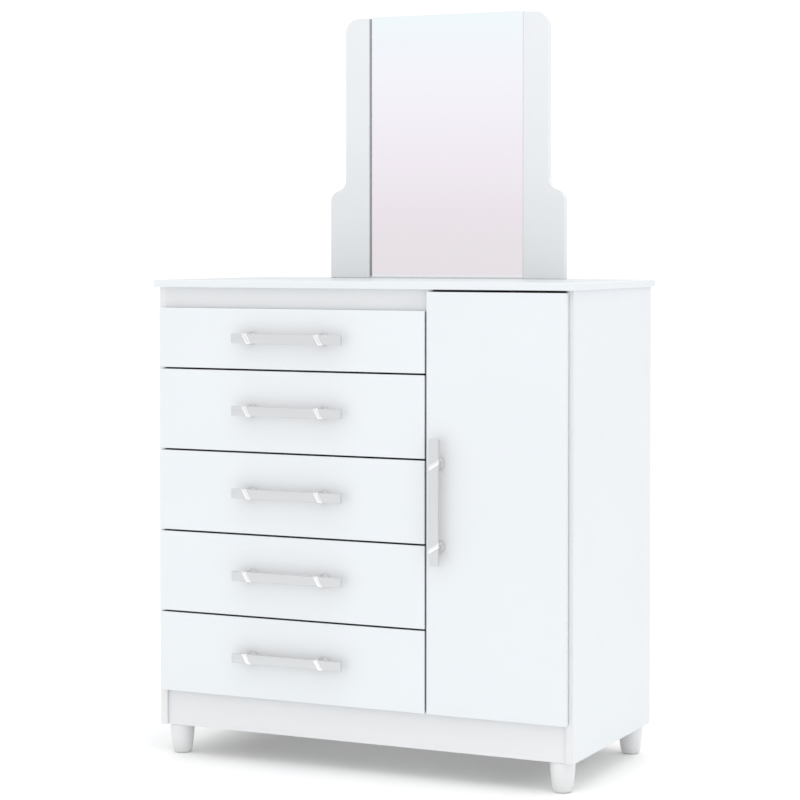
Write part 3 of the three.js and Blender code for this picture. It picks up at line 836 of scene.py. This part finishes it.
# ------------------------------------------------------------------ stage
floor_bm = bmesh.new()
bmesh.ops.create_grid(floor_bm, x_segments=1, y_segments=1, size=40.0, matrix=Matrix.Translation((0, 0, -0.0003)))
g = Graph("floor_white")
g.link(g.mix(g.ramp(g.noise(1.5, 2.0, 0.5), 0.3, 0.7, 0.0, 1.0), (0.955, 0.955, 0.955), (0.965, 0.965, 0.965)), g.shader.inputs["Base Color"])
g.shader.inputs["Roughness"].default_value = 0.9
g.shader.inputs["Specular IOR Level"].default_value = 0.0
g.shader.inputs["Emission Color"].default_value = (1, 1, 1, 1)
g.shader.inputs["Emission Strength"].default_value = 0.077
floor = to_object("studio_floor", floor_bm, [g.mat], smooth=False, weighted=False)
floor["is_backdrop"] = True

# soft white surroundings; near the horizon they shade from a warm grey through
# lilac to a cool white, which is what the mirror shows
world = bpy.data.worlds.new("studio")
scene.world = world
world.use_nodes = True
wt = world.node_tree
wt.nodes.clear()
out = wt.nodes.new("ShaderNodeOutputWorld")
tc = wt.nodes.new("ShaderNodeTexCoord")
sep = wt.nodes.new("ShaderNodeSeparateXYZ")
wt.links.new(tc.outputs["Generated"], sep.inputs[0])
mr = wt.nodes.new("ShaderNodeMapRange")
mr.inputs["From Min"].default_value = -0.02
mr.inputs["From Max"].default_value = 0.13
wt.links.new(sep.outputs["Z"], mr.inputs["Value"])
cr = wt.nodes.new("ShaderNodeValToRGB")
stops = [(0.00, (0.89, 0.828, 0.863)), (0.14, (0.90, 0.838, 0.876)), (0.36, (0.985, 0.909, 0.978)),
         (0.58, (1.022, 0.995, 1.057)), (0.78, (0.985, 1.048, 1.08)), (1.0, (1.06, 1.06, 1.06))]
ramp = cr.color_ramp
while len(ramp.elements) < len(stops):
    ramp.elements.new(0.5)
for e, (pos, col) in zip(ramp.elements, stops):
    e.position = pos
    e.color = (*col, 1)
wt.links.new(mr.outputs["Result"], cr.inputs["Fac"])
surround = wt.nodes.new("ShaderNodeBackground")
# the ceiling is dimmer than the walls
ceiling = wt.nodes.new("ShaderNodeMapRange")
ceiling.interpolation_type = "SMOOTHSTEP"
for k, v in (("From Min", 0.22), ("From Max", 0.85), ("To Min", 0.97), ("To Max", 0.93)):
    ceiling.inputs[k].default_value = v
wt.links.new(sep.outputs["Z"], ceiling.inputs["Value"])
sides = wt.nodes.new("ShaderNodeMapRange")
for k, v in (("From Min", -1.0), ("From Max", 1.0), ("To Min", 0.955), ("To Max", 1.07)):
    sides.inputs[k].default_value = v
wt.links.new(sep.outputs["X"], sides.inputs["Value"])
both = wt.nodes.new("ShaderNodeMath")
both.operation = "MULTIPLY"
wt.links.new(ceiling.outputs["Result"], both.inputs[0])
wt.links.new(sides.outputs["Result"], both.inputs[1])
wt.links.new(both.outputs[0], surround.inputs["Strength"])
wt.links.new(cr.outputs["Color"], surround.inputs["Color"])
plain = wt.nodes.new("ShaderNodeBackground")
plain.inputs["Color"].default_value = (1, 1, 1, 1)
plain.inputs["Strength"].default_value = 1.1
lp = wt.nodes.new("ShaderNodeLightPath")
pick = wt.nodes.new("ShaderNodeMixShader")
wt.links.new(lp.outputs["Is Camera Ray"], pick.inputs["Fac"])
wt.links.new(surround.outputs["Background"], pick.inputs[1])
wt.links.new(plain.outputs["Background"], pick.inputs[2])
wt.links.new(pick.outputs["Shader"], out.inputs["Surface"])

top = bpy.data.lights.new("overhead_softbox", "AREA")
top.shape = "RECTANGLE"
top.size, top.size_y = 3.4, 3.0
top.energy = 25.5
top_obj = bpy.data.objects.new("overhead_softbox", top)
top_obj.location = (0.8, -0.6, 3.3)
scene.collection.objects.link(top_obj)

# ------------------------------------------------------------------ sizes
lo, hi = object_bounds()
